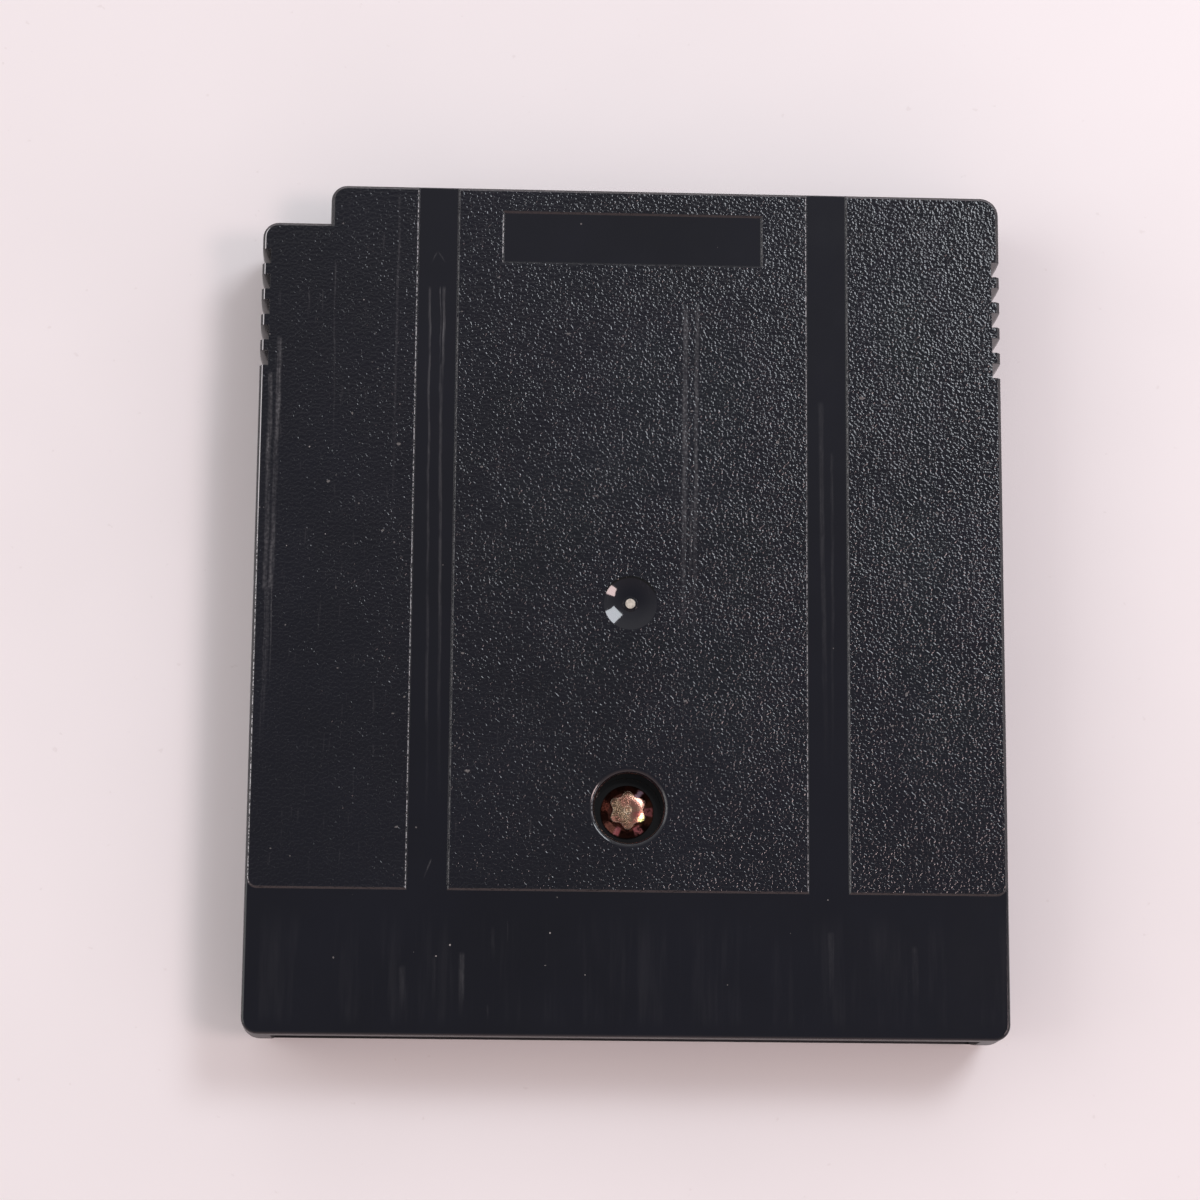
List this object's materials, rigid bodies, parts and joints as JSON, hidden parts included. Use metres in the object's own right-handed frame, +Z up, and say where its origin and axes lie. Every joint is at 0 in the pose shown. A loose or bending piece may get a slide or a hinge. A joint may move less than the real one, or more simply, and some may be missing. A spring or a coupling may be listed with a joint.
{
  "type": "game cartridge",
  "caption": "Flat game cartridge: a screwed plastic case with a textured back, grip notches, a notched corner and a slot over its edge contacts.",
  "frame": {"origin": "middle of the case's rectangle, on the front (label) face that the cartridge lies on", "axes": "+X to the right as seen from the back, +Y to the grip end, +Z up out of the back face"},
  "size_m": [0.057, 0.065, 0.0078],
  "materials": {
    "case_plastic": "fine leather grain on the back, smooth bands, worn satin",
    "label_film": "satin film",
    "yellow_zinc": "yellow passivated zinc",
    "board_laminate": "solder mask",
    "contact_gold": "plated",
    "chip_epoxy": "moulded epoxy",
    "tinned_lead": "tinned",
    "cell_steel": "nickel plated",
    "capacitor_ceramic": "fired ceramic",
    "resistor_glaze": "glazed"
  },
  "bodies": {
    "root": {"rear_shell": "case_plastic", "front_shell": "case_plastic", "front_label": "label_film", "shell_screw": "yellow_zinc", "circuit_board": "board_laminate", "edge_contacts": "contact_gold", "memory_chip": "chip_epoxy", "memory_chip_leads": "tinned_lead", "mapper_chip": "chip_epoxy", "mapper_chip_leads": "tinned_lead", "save_chip": "chip_epoxy", "save_chip_leads": "tinned_lead", "supervisor_chip": "chip_epoxy", "supervisor_chip_leads": "tinned_lead", "backup_cell": "cell_steel", "cell_upper_tab": "cell_steel", "cell_lower_tab": "cell_steel", "ceramic_capacitors": "capacitor_ceramic", "chip_resistors": "resistor_glaze", "blocking_diode": "chip_epoxy", "blocking_diode_leads": "tinned_lead"}
  },
  "joints": []
}
